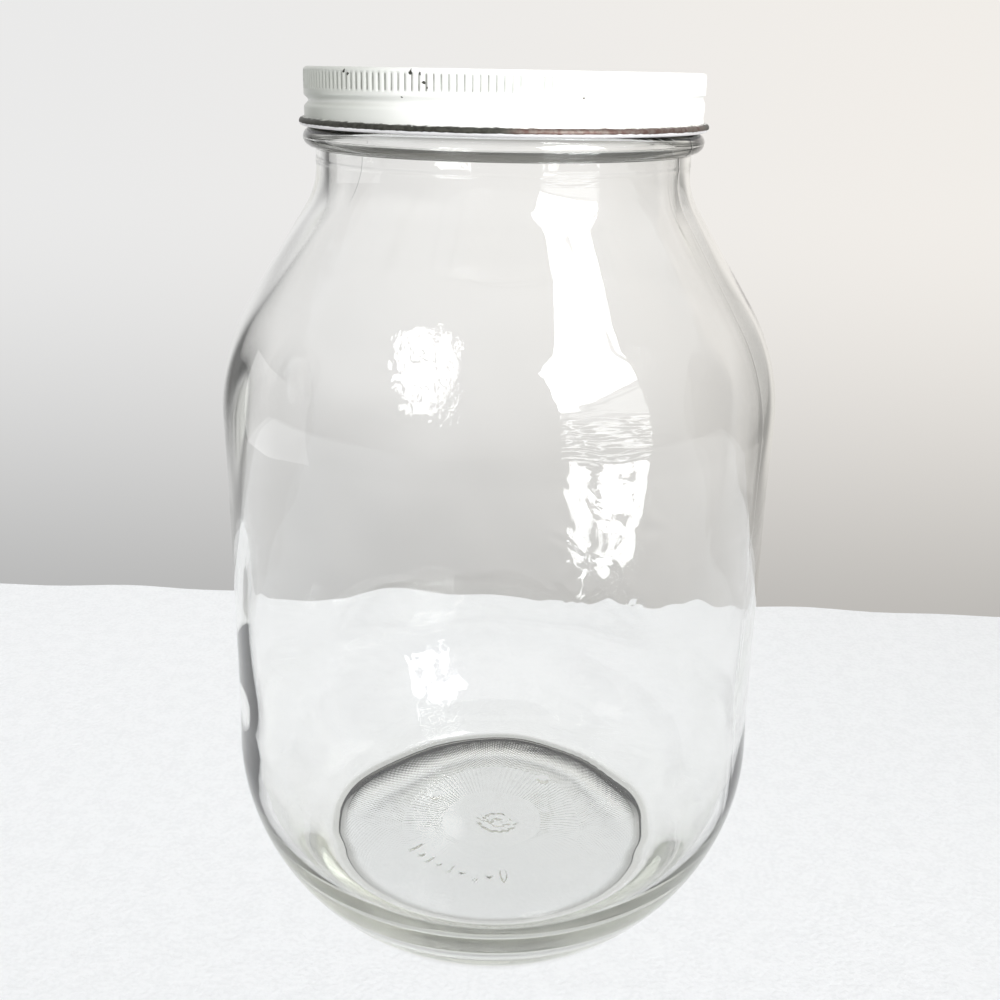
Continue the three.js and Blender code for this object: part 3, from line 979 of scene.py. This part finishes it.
@dataclass(frozen=True)
class WhiteEnamel:
    """Glossy white enamel on tinplate, chipped at the knurls and worn on the curl."""

    white: Colour = (0.86, 0.865, 0.84, 1.0)
    grey_white: Colour = (0.74, 0.75, 0.715, 1.0)
    black_metal: Colour = (0.022, 0.022, 0.016, 1.0)
    rust: Colour = (0.075, 0.04, 0.032, 1.0)
    bare_metal: Colour = (0.22, 0.215, 0.19, 1.0)
    # Painted shade: the lid's inside is dark grey for the shade within its skirt.
    lining: Colour = (0.16, 0.155, 0.13, 1.0)
    # Painted shade in the knurl grooves, darkest at the left, away from the light.
    groove_shade: Colour = (0.22, 0.23, 0.20, 1.0)
    # Painted shade: the lid's outer wall greys towards its left side, away from the light.
    left_painted_shade: Colour = (0.50, 0.515, 0.475, 1.0)
    left_shade_from: float = -0.25
    left_shade_full: float = -0.91
    left_shade_wall: Pair = (54.2 * MM, 55.3 * MM)
    groove_shade_from: float = 0.95
    groove_shade_full: float = -0.5
    groove_shade_outer: float = 55.85 * MM
    groove_shade_inner: float = 55.55 * MM
    groove_shade_rise: Pair = (250.1 * MM, 250.7 * MM)
    groove_shade_fall: Pair = (254.5 * MM, 255.2 * MM)
    groove_shade_patches: Grain = Grain(300.0, 3.0, 1.2)
    groove_shade_least: float = 0.2
    bright_metal: Colour = (0.78, 0.77, 0.78, 1.0)
    bright_rise: Pair = (237.5 * MM, 238.5 * MM)
    bright_fall: Pair = (241.5 * MM, 241.65 * MM)
    bright_ragged: Grain = Grain(500.0, 3.0, 0.5 * MM)
    roughness: float = 0.3
    bare_roughness: float = 0.18
    bare_metallic: float = 0.55
    lining_roughness: float = 0.5
    cloud: Grain = Grain(60.0, 4.0)
    cloud_levels: Pair = (0.35, 0.7)
    cloud_share: float = 0.35
    skin: Grain = Grain(2200.0, 2.0, 0.25)
    skin_depth: float = 0.05 * MM
    paint_thickness: float = 0.8
    wall_radius: float = 55.8 * MM
    curl_wear_fall: Pair = (242.95 * MM, 243.2 * MM)
    curl_wear_ragged: Grain = Grain(420.0, 4.0, 0.7 * MM)
    curl_wear_outer: Pair = (55.4 * MM, 55.9 * MM)
    curl_paint: Grain = Grain(240.0, 5.0)
    curl_paint_levels: Pair = (0.24, 0.30)
    rust_rise: Pair = (math.radians(2) - 0.05, math.radians(2) + 0.05)
    rust_fall: Pair = (math.radians(68) - 0.1, math.radians(68) + 0.1)
    mottle: Grain = Grain(700.0, 4.0)
    mottle_levels: Pair = (0.35, 0.65)
    mottle_black: float = 0.14
    mottle_rust: float = 0.4
    chip_ragged: Grain = Grain(1100.0, 3.0)
    chip_bite: float = 2.4
    chip_edge: Pair = (-0.3, -0.6)
    chips: tuple[Chip, ...] = (
        Chip(-45.7, 254.9 * MM, 0.6 * MM),
        Chip(-44.0, 254.2 * MM, 0.45 * MM),
        Chip(-23.6, 254.9 * MM, 0.7 * MM),
        Chip(-21.2, 254.6 * MM, 0.5 * MM),
        Chip(-20.0, 252.6 * MM, 0.55 * MM),
        Chip(-19.2, 251.4 * MM, 0.4 * MM),
        Chip(-26.2, 249.0 * MM, 0.35 * MM),
        Chip(20.0, 249.6 * MM, 0.35 * MM),
        Chip(23.5, 249.4 * MM, 0.3 * MM),
        Chip(96.0, 254.8 * MM, 1.0 * MM),
        Chip(151.0, 254.7 * MM, 0.8 * MM),
        Chip(-134.0, 254.8 * MM, 1.1 * MM),
        Chip(-131.0, 252.9 * MM, 0.6 * MM),
    )

    def make(self) -> bpy.types.Material:
        """Make the material.

        Returns:
            The enamel.
        """
        material, nodes, shader, _ = new_material("lid_enamel")
        place = nodes.place()
        angle, radius, height = nodes.around(place)
        bare = nodes.math("MAXIMUM", self._chips(nodes, place), self._curl_wear(nodes, place, radius, height))
        cloud = nodes.ramp(nodes.noise(place, self.cloud), *self.cloud_levels)
        enamel = nodes.mix(nodes.times(cloud, self.cloud_share), self.white, self.grey_white)
        side = nodes.math("SINE", angle)
        # Painted shade on the left of the lid's outer wall.
        left_shade = nodes.times(nodes.ramp(side, self.left_shade_from, self.left_shade_full),
                           nodes.ramp(radius, *self.left_shade_wall))
        enamel = nodes.mix(left_shade, enamel, self.left_painted_shade)
        # Painted shade in the knurl grooves.
        enamel = nodes.mix(self._groove_shade(nodes, place, side, radius, height), enamel, self.groove_shade)
        metal = self._metal(nodes, place, angle, height)
        nodes.join(nodes.mix(bare, enamel, metal), shader.inputs["Base Color"])
        nodes.join(nodes.times(bare, self.bare_metallic), shader.inputs["Metallic"])
        rough = nodes.math("MULTIPLY_ADD", bare, self.bare_roughness, self.roughness)
        nodes.join(rough, shader.inputs["Roughness"])
        skin = nodes.disturb(nodes.times(bare, -self.paint_thickness), place, self.skin)
        nodes.join(nodes.bump(skin, self.skin_depth), shader.inputs["Normal"])
        return material

    def make_painted_shade_lining(self) -> bpy.types.Material:
        """Make the lid's inside: dull metal, dark grey as painted shade, since little light gets in under its
        skirt.

        Returns:
            The lining.
        """
        material, _, shader, _ = new_material("lid_lining_painted_shade")
        shader.inputs["Base Color"].default_value = self.lining
        shader.inputs["Roughness"].default_value = self.lining_roughness
        return material

    def _groove_shade(self, nodes: Nodes, place: Socket, side: Socket, radius: Socket, height: Socket) -> Socket:
        """Mark the painted shade in the knurls' grooves, darkest at the left, gone at the right and uneven in
        patches.

        Args:
            nodes: The material's nodes.
            place: Where on the piece.
            side: From -1 at the left of the lid to 1 at the right.
            radius: Distance from the axis.
            height: Height above the table.

        Returns:
            A mark from 0 to 1, or a little more.
        """
        groove = nodes.ramp(radius, self.groove_shade_outer, self.groove_shade_inner)
        high = nodes.band(height, self.groove_shade_rise, self.groove_shade_fall)
        left = nodes.ramp(side, self.groove_shade_from, self.groove_shade_full)
        return nodes.times(groove, high, left, nodes.disturb(self.groove_shade_least, place, self.groove_shade_patches))

    def _chips(self, nodes: Nodes, place: Socket) -> Socket:
        """Mark the listed chips, with ragged edges.

        Args:
            nodes: The material's nodes.
            place: Where on the piece.

        Returns:
            A mark from 0 to 1.
        """
        total: Any = 0.0
        ragged = nodes.noise(place, self.chip_ragged)
        for chip in self.chips:
            apart = nodes.add("ShaderNodeVectorMath", operation="DISTANCE")
            nodes.join(place, apart.inputs[0])
            apart.inputs[1].default_value = chip.middle(self.wall_radius)
            worn = nodes.math("MULTIPLY_ADD", ragged, -self.chip_bite * chip.size, apart.outputs["Value"])
            spot = nodes.ramp(worn, *(edge * chip.size for edge in self.chip_edge))
            total = nodes.math("MAXIMUM", spot, total)
        return total

    def _curl_wear(self, nodes: Nodes, place: Socket, radius: Socket, height: Socket) -> Socket:
        """Mark where the paint is worn off the rolled rim.

        Args:
            nodes: The material's nodes.
            place: Where on the piece.
            radius: Distance from the axis.
            height: Height above the table.

        Returns:
            A mark from 0 to 1.
        """
        edge = nodes.disturb(height, place, self.curl_wear_ragged)
        low = nodes.ramp(edge, self.curl_wear_fall[1], self.curl_wear_fall[0])
        patchy = nodes.ramp(nodes.noise(place, self.curl_paint), *self.curl_paint_levels)
        return nodes.times(low, nodes.ramp(radius, *self.curl_wear_outer), patchy)

    def _metal(self, nodes: Nodes, place: Socket, angle: Socket, height: Socket) -> Socket:
        """Colour the bare metal: black at the left, rusty at the right front, bright below.

        Args:
            nodes: The material's nodes.
            place: Where on the piece.
            angle: Angle from the front.
            height: Height above the table.

        Returns:
            The colour's socket.
        """
        rusty = nodes.band(angle, self.rust_rise, self.rust_fall)
        mottle = nodes.ramp(nodes.noise(place, self.mottle), *self.mottle_levels)
        dark = nodes.mix(nodes.times(mottle, self.mottle_black), self.black_metal, self.bare_metal)
        red = nodes.mix(nodes.times(mottle, self.mottle_rust), self.rust, self.bare_metal)
        low = nodes.band(nodes.disturb(height, place, self.bright_ragged), self.bright_rise, self.bright_fall)
        return nodes.mix(low, nodes.mix(rusty, dark, red), self.bright_metal)


@dataclass(frozen=True)
class Felt:
    """White felt with a short soft pile, with a painted glow under the jar for light that the glass would
    gather, and a painted contact shadow round the jar's foot.
    """

    colour: Colour = (0.86, 0.875, 0.89, 1.0)
    shade: Colour = (0.82, 0.835, 0.85, 1.0)
    # Painted glow: the felt under the jar glows, standing in for light that the glass gathers.
    painted_glow: float = 0.24
    painted_glow_inside: float = 50 * MM
    painted_glow_outside: float = 55 * MM
    # Painted contact shadow: a grey ring on the felt just round the jar's foot.
    contact_shadow_colour: Colour = (0.58, 0.59, 0.58, 1.0)
    contact_shadow_rise: Pair = (49 * MM, 53 * MM)
    contact_shadow_fall: Pair = (56.5 * MM, 60.5 * MM)
    pile: Grain = Grain(620.0, 3.0)
    tufts: Grain = Grain(150.0, 2.0, 0.6)
    shade_levels: Pair = (0.95, 0.6)
    relief: float = 0.3 * MM
    roughness: float = 0.95
    gloss: float = 0.1

    def make(self) -> bpy.types.Material:
        """Make the material.

        Returns:
            The felt.
        """
        material, nodes, shader, _ = new_material("white_felt")
        place = nodes.place()
        both = nodes.disturb(nodes.noise(place, self.pile), place, self.tufts)
        _, radius, _ = nodes.around(place)
        # Painted contact shadow round the foot.
        contact_shadow = nodes.band(radius, self.contact_shadow_rise, self.contact_shadow_fall)
        wool = nodes.mix(nodes.ramp(both, *self.shade_levels), self.colour, self.shade)
        nodes.join(nodes.mix(contact_shadow, wool, self.contact_shadow_colour), shader.inputs["Base Color"])
        shader.inputs["Roughness"].default_value = self.roughness
        shader.inputs["Specular IOR Level"].default_value = self.gloss
        nodes.join(nodes.bump(both, self.relief), shader.inputs["Normal"])
        # Painted glow under the jar, as emission.
        glow_under_jar = nodes.ramp(radius, self.painted_glow_outside, self.painted_glow_inside)
        shader.inputs["Emission Color"].default_value = self.colour
        nodes.join(nodes.times(glow_under_jar, self.painted_glow), shader.inputs["Emission Strength"])
        return material


@dataclass(frozen=True)
class PaleWall:
    """A plain pale wall, darker low down with painted shade, warm at the right, and dark beyond the camera's
    view.
    """

    low: Colour = (0.42, 0.42, 0.417, 1.0)
    high: Colour = (0.825, 0.823, 0.82, 1.0)
    warmth: Colour = (1.07, 1.035, 0.99, 1.0)
    low_height: float = -0.45
    high_height: float = 0.15
    warm_from: float = -0.5
    warm_full: float = 0.5
    dark_rise: Pair = (-0.4, -0.1)
    dark_fall: Pair = (0.15, 0.7)
    dark_from: float = 0.52
    dark_to: float = 0.8
    dark_left: Colour = (0.16, 0.16, 0.16, 1.0)
    dark_right: Colour = (0.46, 0.45, 0.43, 1.0)

    def make(self) -> bpy.types.Material:
        """Make the material, which glows so that it needs no light of its own; the glow is painted light,
        with painted shade low down.

        Returns:
            The wall's paint.
        """
        material, nodes, shader, output = new_material("pale_wall")
        place = nodes.place()
        x, _, z = nodes.split(place)
        # Painted shade: the glow darkens low down, towards the table.
        colour = nodes.mix(nodes.ramp(z, self.low_height, self.high_height), self.low, self.high)
        tone = nodes.mix(nodes.ramp(x, self.warm_from, self.warm_full), WHITE, self.warmth)
        low = nodes.band(z, self.dark_rise, self.dark_fall)
        for side, dark in ((-1, self.dark_left), (1, self.dark_right)):
            beyond = nodes.times(nodes.ramp(x, side * self.dark_from, side * self.dark_to), low)
            tone = nodes.mix(beyond, tone, dark)
        glow = nodes.add("ShaderNodeEmission")
        nodes.join(nodes.mix(1.0, colour, tone, "MULTIPLY"), glow.inputs["Color"])
        nodes.join(glow.outputs[0], output.inputs["Surface"])
        material.node_tree.nodes.remove(shader)
        return material


@dataclass
class Stage:
    """The felt-covered table, with its back edge in view, and the pale wall behind it."""

    edge_left: Pair = (-256 * MM, 203 * MM)
    edge_right: Pair = (254 * MM, 187 * MM)
    # Waves along the felt's back edge: reach, rate in radians to a metre, and start in radians.
    edge_waves: tuple[tuple[float, float, float], ...] = ((1.6 * MM, 38, 2.2), (0.96 * MM, 91, 0))
    edge_steps: int = 8
    columns: int = 321
    half_width: float = 1.6
    front: float = -1.6
    thickness: float = 12 * MM
    edge_rounding: float = 2.5 * MM
    clearance: float = 0.15 * MM
    wall_distance: float = 0.8
    wall_half_width: float = 2.6
    wall_bottom: float = -1.4
    wall_top: float = 2.2

    def build(self) -> list[bpy.types.Object]:
        """Build the table and the wall.

        Returns:
            Both stage objects.
        """
        pieces = [self._table(), self._wall()]
        return pieces

    def _edge(self, x: float) -> float:
        """Give how far back the felt's uneven edge is at a place along it."""
        slope = (self.edge_right[1] - self.edge_left[1]) / (self.edge_right[0] - self.edge_left[0])
        straight = self.edge_left[1] + slope * (x - self.edge_left[0])
        return straight + sum(reach * math.sin(rate * x + start) for reach, rate, start in self.edge_waves)

    def _table(self) -> bpy.types.Object:
        """Make the felt as a strip from the front to its rounded back edge."""
        lip = []
        for index in range(self.edge_steps + 1):
            turn = 0.5 * math.pi * index / self.edge_steps
            lip.append((math.sin(turn) - 1, (math.cos(turn) - 1) * self.edge_rounding - self.clearance))
        lip.append((0.0, -self.thickness))
        columns = np.linspace(-self.half_width, self.half_width, self.columns)
        verts = []
        for x in columns:
            edge = self._edge(float(x))
            verts += [(x, self.front, -self.clearance), (x, 0.0, -self.clearance)]
            verts += [(x, edge + back * self.edge_rounding, height) for back, height in lip]
        rows = len(verts) // len(columns)
        faces = []
        for column in range(len(columns) - 1):
            for row in range(rows - 1):
                corner = column * rows + row
                faces.append((corner, corner + rows, corner + rows + 1, corner + 1))
        return self._stage_piece("felt_table", verts, faces, Felt().make())

    def _wall(self) -> bpy.types.Object:
        """Make the flat wall."""
        w, y = self.wall_half_width, self.wall_distance
        low, high = self.wall_bottom, self.wall_top
        verts = [(-w, y, low), (w, y, low), (w, y, high), (-w, y, high)]
        return self._stage_piece("pale_wall", verts, [(0, 1, 2, 3)], PaleWall().make())

    @staticmethod
    def _stage_piece(
        name: str,
        verts: list[tuple[float, float, float]],
        faces: list[tuple[int, ...]],
        material: bpy.types.Material,
    ) -> bpy.types.Object:
        """Make a stage object from its corners and faces.

        Args:
            name: Name of the object.
            verts: Corners.
            faces: Faces.
            material: Its material.

        Returns:
            The smooth-shaded object.
        """
        mesh = bpy.data.meshes.new(name)
        mesh.from_pydata(verts, [], faces)
        mesh.polygons.foreach_set("use_smooth", [True] * len(mesh.polygons))
        mesh.materials.append(material)
        piece = bpy.data.objects.new(name, mesh)
        bpy.context.scene.collection.objects.link(piece)
        return piece


@dataclass(frozen=True)
class Bar:
    """A thin dark bar across the window, straight between two points of side and height."""

    start: Pair
    end: Pair
    half_width: float

    def across(self) -> tuple[float, float, float]:
        """Give the bar's unit normal and its distance from the zero point along it."""
        along = (self.end[0] - self.start[0], self.end[1] - self.start[1])
        length = math.hypot(*along)
        normal = (-along[1] / length, along[0] / length)
        return normal[0], normal[1], normal[0] * self.start[0] + normal[1] * self.start[1]


@dataclass
class Window:
    """A tall window with leaning sides, thin bars and a half-drawn blind, for clear and glossy pieces.

    Side is measured in the window's own plane from its middle line, and height from the table.
    """

    angle: float = math.radians(42)
    distance: float = 0.36
    glow: float = 13.0
    bottom: float = -12 * MM
    top: float = 680 * MM
    widest: float = 235 * MM
    left_side: tuple[Pair, ...] = (
        (-10 * MM, -85 * MM),
        (115 * MM, -121 * MM),
        (275 * MM, -133 * MM),
        (430 * MM, -158 * MM),
        (458 * MM, -172 * MM),
        (498 * MM, -146 * MM),
        (545 * MM, -95 * MM),
        (630 * MM, -46 * MM),
    )
    right_side: tuple[Pair, ...] = (
        (20 * MM, 66 * MM),
        (190 * MM, 75 * MM),
        (340 * MM, 82 * MM),
        (440 * MM, 94 * MM),
        (475 * MM, 94 * MM),
        (510 * MM, 84 * MM),
        (580 * MM, 70 * MM),
    )
    bars: tuple[Bar, ...] = (
        Bar((-132 * MM, 272 * MM), (81 * MM, 341 * MM), 4 * MM),
        Bar((-132 * MM, 268 * MM), (81 * MM, 322 * MM), 3 * MM),
        Bar((16 * MM, 590 * MM), (66 * MM, 478 * MM), 7 * MM),
    )
    sill: tuple[Pair, ...] = (
        (-85 * MM, -12 * MM),
        (-60 * MM, 5 * MM),
        (-20 * MM, 20 * MM),
        (26 * MM, 28 * MM),
        (66 * MM, 20 * MM),
    )
    colour: Colour = (0.97, 0.99, 1.0, 1.0)
    side_soft: float = 3 * MM
    fray: Grain = Grain(34.0, 3.0, 16 * MM)
    bar_soft: float = 1.5 * MM
    bar_dimming: float = 0.9
    patches: Grain = Grain(24.0, 3.0)
    patch_levels: Pair = (0.48, 0.53)
    patch_gap_glow: float = 0.02
    patch_added_glow: float = 0.95
    sill_soft: float = 4 * MM
    blind_rise: Pair = (110 * MM, 114 * MM)
    blind_fall: Pair = (239 * MM, 245 * MM)
    blind_line: float = 15 * MM
    blind_sway: Grain = Grain(9.0, 2.0, 34 * MM)
    blind_levels: Pair = (0.66, 0.92)
    blind_glow: float = 0.4
    dim_lean: float = -0.32
    dim_rise: Pair = (309 * MM, 313 * MM)
    dim_glow: float = 0.13

    def build(self) -> None:
        """Build the window as one area light whose glow is worked out over its face."""
        ahead = Vector((math.sin(self.angle), -math.cos(self.angle), 0))
        middle = self.distance * ahead
        middle.z = 0.5 * (self.bottom + self.top)
        size = (2 * self.widest, self.top - self.bottom)
        power = self.glow * math.pi * size[0] * size[1]
        lamp = add_panel("window", middle, size, power, glossy=True, towards=-ahead)
        lamp.data.use_nodes = True
        nodes = Nodes(lamp.data.node_tree)
        shader = lamp.data.node_tree.nodes["Emission"]
        place = nodes.add("ShaderNodeNewGeometry").outputs["Position"]
        x, y, height = nodes.split(place)
        side = nodes.math("MULTIPLY_ADD", x, math.cos(self.angle), nodes.times(y, math.sin(self.angle)))
        centred = nodes.math("SUBTRACT", nodes.noise(place, self.fray), 0.5)
        frayed = nodes.math("MULTIPLY_ADD", centred, self.fray.reach, side)
        glow = nodes.times(self._inside(nodes, frayed, height), self._bars(nodes, side, height),
                           self._blind(nodes, place, side, height))
        nodes.join(glow, shader.inputs["Strength"])
        shader.inputs["Color"].default_value = self.colour

    def _inside(self, nodes: Nodes, side: Socket, height: Socket) -> Socket:
        """Mark what lies between the window's two leaning sides."""
        from_left = nodes.math("SUBTRACT", side, nodes.follow(height, self.left_side))
        from_right = nodes.math("SUBTRACT", nodes.follow(height, self.right_side), side)
        return nodes.times(nodes.ramp(from_left, 0.0, self.side_soft),
                           nodes.ramp(from_right, 0.0, self.side_soft))

    def _bars(self, nodes: Nodes, side: Socket, height: Socket) -> Any:
        """Give the share of light let through by the thin bars."""
        total: Any = 1.0
        for bar in self.bars:
            right, up, offset = bar.across()
            off = nodes.math("MULTIPLY_ADD", side, right, nodes.math("MULTIPLY_ADD", height, up, -offset))
            clear = nodes.ramp(nodes.math("ABSOLUTE", off), bar.half_width, bar.half_width + self.bar_soft)
            light = nodes.math("MULTIPLY_ADD", clear, self.bar_dimming, 1 - self.bar_dimming)
            total = nodes.times(light, total)
        return total

    def _blind(self, nodes: Nodes, place: Socket, side: Socket, height: Socket) -> Socket:
        """Give the share of light let through from patches at the foot up to the clear top.

        Args:
            nodes: The light's nodes.
            place: Where on the window.
            side: How far to the side.
            height: Height above the table.

        Returns:
            The share, from 0 to 1.
        """
        lines = nodes.wave(nodes.disturb(height, place, self.blind_sway), 2 * math.pi / self.blind_line)
        lines = nodes.times(nodes.ramp(lines, *self.blind_levels), self.blind_glow)
        patchy = nodes.ramp(nodes.noise(place, self.patches), *self.patch_levels)
        patchy = nodes.math("MULTIPLY_ADD", patchy, self.patch_added_glow, self.patch_gap_glow)
        over_sill = nodes.math("SUBTRACT", height, nodes.follow(side, self.sill))
        patchy = nodes.times(patchy, nodes.ramp(over_sill, 0.0, self.sill_soft))
        leaning = nodes.math("MULTIPLY_ADD", side, self.dim_lean, height)
        clear = nodes.ramp(leaning, *self.dim_rise)
        upper = nodes.math("MULTIPLY_ADD", clear, 1 - self.dim_glow, self.dim_glow)
        lower = nodes.blend(nodes.ramp(height, *self.blind_rise), patchy, lines)
        return nodes.blend(nodes.ramp(height, *self.blind_fall), lower, upper)


def add_panel(
    name: str,
    middle: Vector,
    size: Pair,
    power: float,
    glossy: bool,
    towards: Vector | None = None,
) -> bpy.types.Object:
    """Make a flat light that the camera doesn't see.

    Args:
        name: Name of the light.
        middle: Where its middle is.
        size: Width and height.
        power: Watts.
        glossy: Whether it shows only in and through gloss, or else lights only matt surfaces.
        towards: Which way it faces, or None for towards the foot of the jar.

    Returns:
        The light's object.
    """
    light = bpy.data.lights.new(name, "AREA")
    light.shape = "RECTANGLE"
    light.size, light.size_y = size
    light.energy = power
    lamp = bpy.data.objects.new(name, light)
    aim = towards or -middle
    lamp.matrix_world = Matrix.Translation(middle) @ aim.to_track_quat("-Z", "Y").to_matrix().to_4x4()
    lamp.visible_camera = False
    lamp.visible_diffuse = not glossy
    lamp.visible_glossy = glossy
    lamp.visible_transmission = glossy
    bpy.context.scene.collection.objects.link(lamp)
    return lamp


@dataclass
class StudioLight:
    """Soft light from all round, a window at the right, a dim one at the left, and a front light.

    Each rise, fall and over is read off the unit vector towards the sky: x right, y back and z up.
    """

    sky_strength: float = 1.0
    sky_low: float = 0.4
    sky_added: float = 0.45
    sky_rise: Pair = (-0.35, 0.5)
    front_share: float = 0.6
    front_fall: Pair = (-0.7, 0.1)
    front_rise: Pair = (-0.5, 0.1)
    left_share: float = 0.3
    left_rise: Pair = (-0.95, -0.35)
    left_over: Pair = (0.08, 0.45)
    right_share: float = 0.65
    right_fall: Pair = (0.7, 1.0)
    front_place: tuple[float, float, float] = (0.42, -0.62, 0.36)
    front_size: float = 0.4
    front_power: float = 0.5
    front_spread: float = math.radians(50)
    left_angle: float = math.radians(-93)
    left_distance: float = 0.5
    left_height: float = 0.12
    left_size: Pair = (0.36, 0.26)
    left_glow: float = 1.0
    front_aim: tuple[float, float, float] = (0.0, 0.0, 0.25)

    def build(self) -> None:
        """Build the world and the lights."""
        self._world()
        Window().build()
        front = Vector(self.front_place)
        aim = Vector(self.front_aim) - front
        size = (self.front_size, self.front_size)
        lamp = add_panel("front", front, size, self.front_power, glossy=False, towards=aim)
        lamp.data.spread = self.front_spread
        away = Vector((math.sin(self.left_angle), -math.cos(self.left_angle), 0))
        middle = self.left_distance * away + Vector((0, 0, self.left_height))
        power = self.left_glow * math.pi * self.left_size[0] * self.left_size[1]
        lamp = add_panel("left_window", middle, self.left_size, power, glossy=True, towards=-away)
        lamp.visible_transmission = False

    def _world(self) -> None:
        """Make the pale world: brighter high up and in front, dimmer far left and far right."""
        world = bpy.data.worlds.new("studio")
        bpy.context.scene.world = world
        world.use_nodes = True
        nodes = Nodes(world.node_tree)
        background = world.node_tree.nodes["Background"]
        direction = nodes.add("ShaderNodeTexCoord").outputs["Generated"]
        x, y, z = nodes.split(direction)
        ahead = nodes.times(nodes.ramp(y, *reversed(self.front_fall)), nodes.ramp(z, *self.front_rise))
        high = nodes.math("MULTIPLY_ADD", nodes.ramp(z, *self.sky_rise), self.sky_added, self.sky_low)
        level = nodes.math("MULTIPLY_ADD", ahead, self.front_share, high)
        lit = nodes.math("MAXIMUM", nodes.ramp(x, *self.left_rise), nodes.ramp(z, *self.left_over))
        left = nodes.math("MULTIPLY_ADD", lit, 1 - self.left_share, self.left_share)
        near = nodes.ramp(x, *reversed(self.right_fall))
        right = nodes.math("MULTIPLY_ADD", near, 1 - self.right_share, self.right_share)
        background.inputs["Color"].default_value = WHITE
        nodes.join(nodes.times(level, left, right, self.sky_strength), background.inputs["Strength"])


@dataclass
class PhotoCamera:
    """The camera at the photograph's place: close to the jar, a little above it."""

    place: tuple[float, float, float] = (0.54 * MM, -337.9 * MM, 255.34 * MM)
    tilt: float = math.radians(17.80)
    roll: float = math.radians(1.08)
    focal_pixels: float = 1146.3
    frame_pixels: float = 1000.0
    shift_pixels: float = -60.0
    sensor: float = 36.0

    def build(self) -> bpy.types.Object:
        """Build the camera and make it the scene's own.

        Returns:
            The camera's object.
        """
        camera = bpy.data.cameras.new("photo_camera")
        camera.sensor_width = self.sensor
        camera.lens = self.focal_pixels / self.frame_pixels * self.sensor
        camera.shift_y = self.shift_pixels / self.frame_pixels
        camera.clip_start = 0.01
        right = Vector((1, 0, 0))
        up = Vector((0, math.sin(self.tilt), math.cos(self.tilt)))
        ahead = Vector((0, math.cos(self.tilt), -math.sin(self.tilt)))
        turned_right = math.cos(self.roll) * right + math.sin(self.roll) * up
        turned_up = -math.sin(self.roll) * right + math.cos(self.roll) * up
        holder = bpy.data.objects.new("photo_camera", camera)
        axes = Matrix((turned_right, turned_up, -ahead)).transposed().to_4x4()
        holder.matrix_world = Matrix.Translation(self.place) @ axes
        bpy.context.scene.collection.objects.link(holder)
        bpy.context.scene.camera = holder
        return holder


def dress(piece: bpy.types.Object, materials: list[bpy.types.Material], node: str) -> None:
    """Give a piece its materials and say which CAD node it stands for.

    Args:
        piece: The piece.
        materials: Its materials, all of one finish.
        node: The CAD node that it replaces.
    """
    for material in materials:
        piece.data.materials.append(material)
    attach(piece, "root")
    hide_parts(node)
    LOG.info("%s: %d faces, stands for %s", piece.name, len(piece.data.polygons), node)


def set_light_paths(scene: bpy.types.Scene) -> None:
    """Let light through many layers of glass, but cast no bright patterns from it.

    Args:
        scene: The scene to set.
    """
    scene.view_settings.view_transform = "Standard"
    scene.cycles.max_bounces = 20
    scene.cycles.diffuse_bounces = 2
    scene.cycles.glossy_bounces = 12
    scene.cycles.transmission_bounces = 16
    scene.cycles.caustics_reflective = False
    scene.cycles.caustics_refractive = False


def main() -> None:
    """Build the camera, stage and lights, then the jar and the lid."""
    logging.basicConfig(level=logging.INFO, format="%(name)s: %(message)s")
    PhotoCamera().build()
    Stage().build()
    StudioLight().build()
    set_light_paths(bpy.context.scene)

    glass = JarGlass()
    jar = spin("jar_glass", glass.outline(), glass.angles(), glass.relief, Zone.UNDERSIDE)
    jar.visible_shadow = False
    jar.visible_diffuse = False
    finish = ClearGlass()
    dress(jar, [finish.make(), finish.make_stippled()], "glass_jar")

    cover = ScrewLid()
    lid = spin("screw_lid", cover.outline(), cover.angles(), cover.relief, Zone.LINING)
    enamel = WhiteEnamel()
    dress(lid, [enamel.make(), enamel.make_painted_shade_lining()], "lid")


if __name__ == "__main__":
    main()
